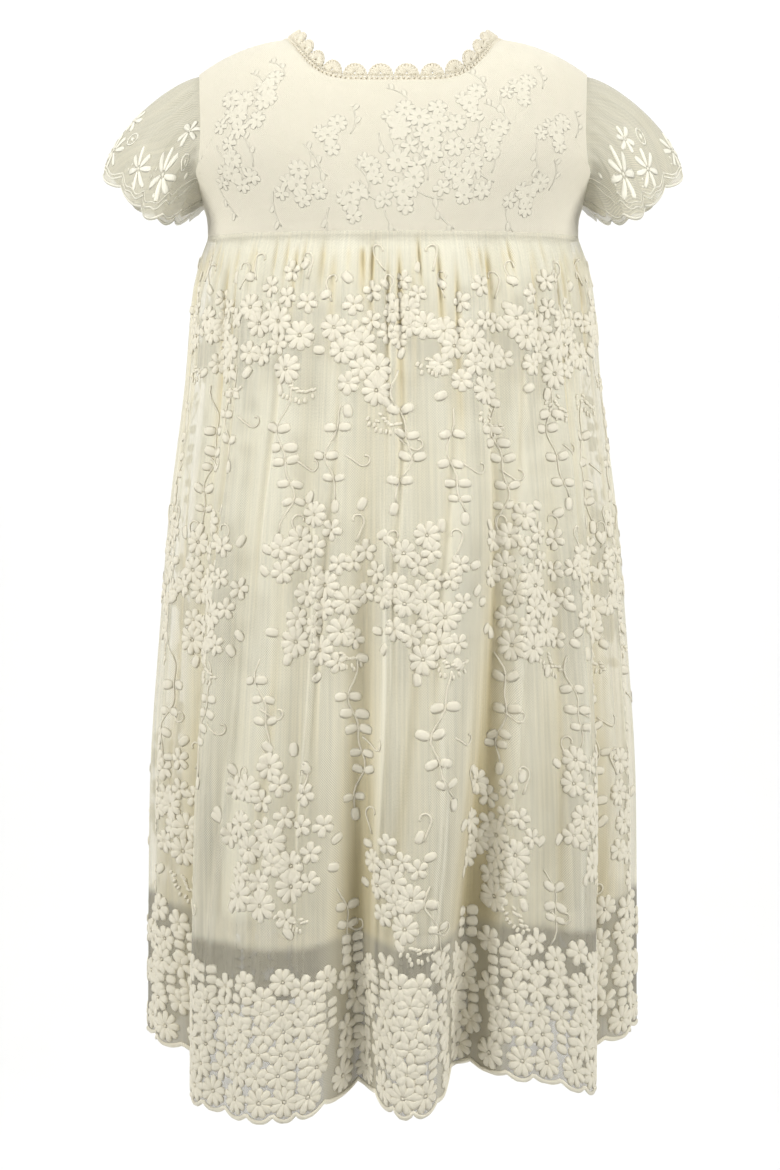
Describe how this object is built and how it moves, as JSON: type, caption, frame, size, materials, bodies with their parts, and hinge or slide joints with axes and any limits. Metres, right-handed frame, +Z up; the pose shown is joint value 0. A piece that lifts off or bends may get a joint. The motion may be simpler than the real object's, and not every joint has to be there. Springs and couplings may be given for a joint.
{
  "type": "child's lace dress",
  "caption": "Small child's lace dress in its worn shape: short yoke, gathered skirt of embroidered net over a cotton lining, flutter sleeves, crochet neck edging.",
  "frame": {"origin": "midway between the two neck points of the shoulders, where the wearer's shoulders hold the dress up", "axes": "+X towards the wearer's left sleeve, +Y towards the back, so the front faces -Y, +Z up from the hem to the neck"},
  "size_m": [0.321, 0.2697, 0.5831],
  "materials": {
    "embroidered_net": "sheer cotton net with raised satin-stitch embroidery",
    "cotton_lining": "plain opaque cotton lawn",
    "yoke_lace": "opaque cotton with tone-on-tone embroidery",
    "crochet_cotton": "matt crochet cotton",
    "pearl_button": "soft pearl"
  },
  "bodies": {
    "root": {"yoke_front": "yoke_lace", "yoke_back_left": "yoke_lace", "yoke_back_right": "yoke_lace", "neck_edging": "crochet_cotton", "sleeve_left": "embroidered_net", "sleeve_right": "embroidered_net", "net_skirt_front": "embroidered_net", "net_skirt_back": "embroidered_net", "lining_front": "cotton_lining", "lining_back": "cotton_lining", "button_1": "pearl_button", "button_2": "pearl_button", "button_3": "pearl_button"}
  },
  "joints": []
}
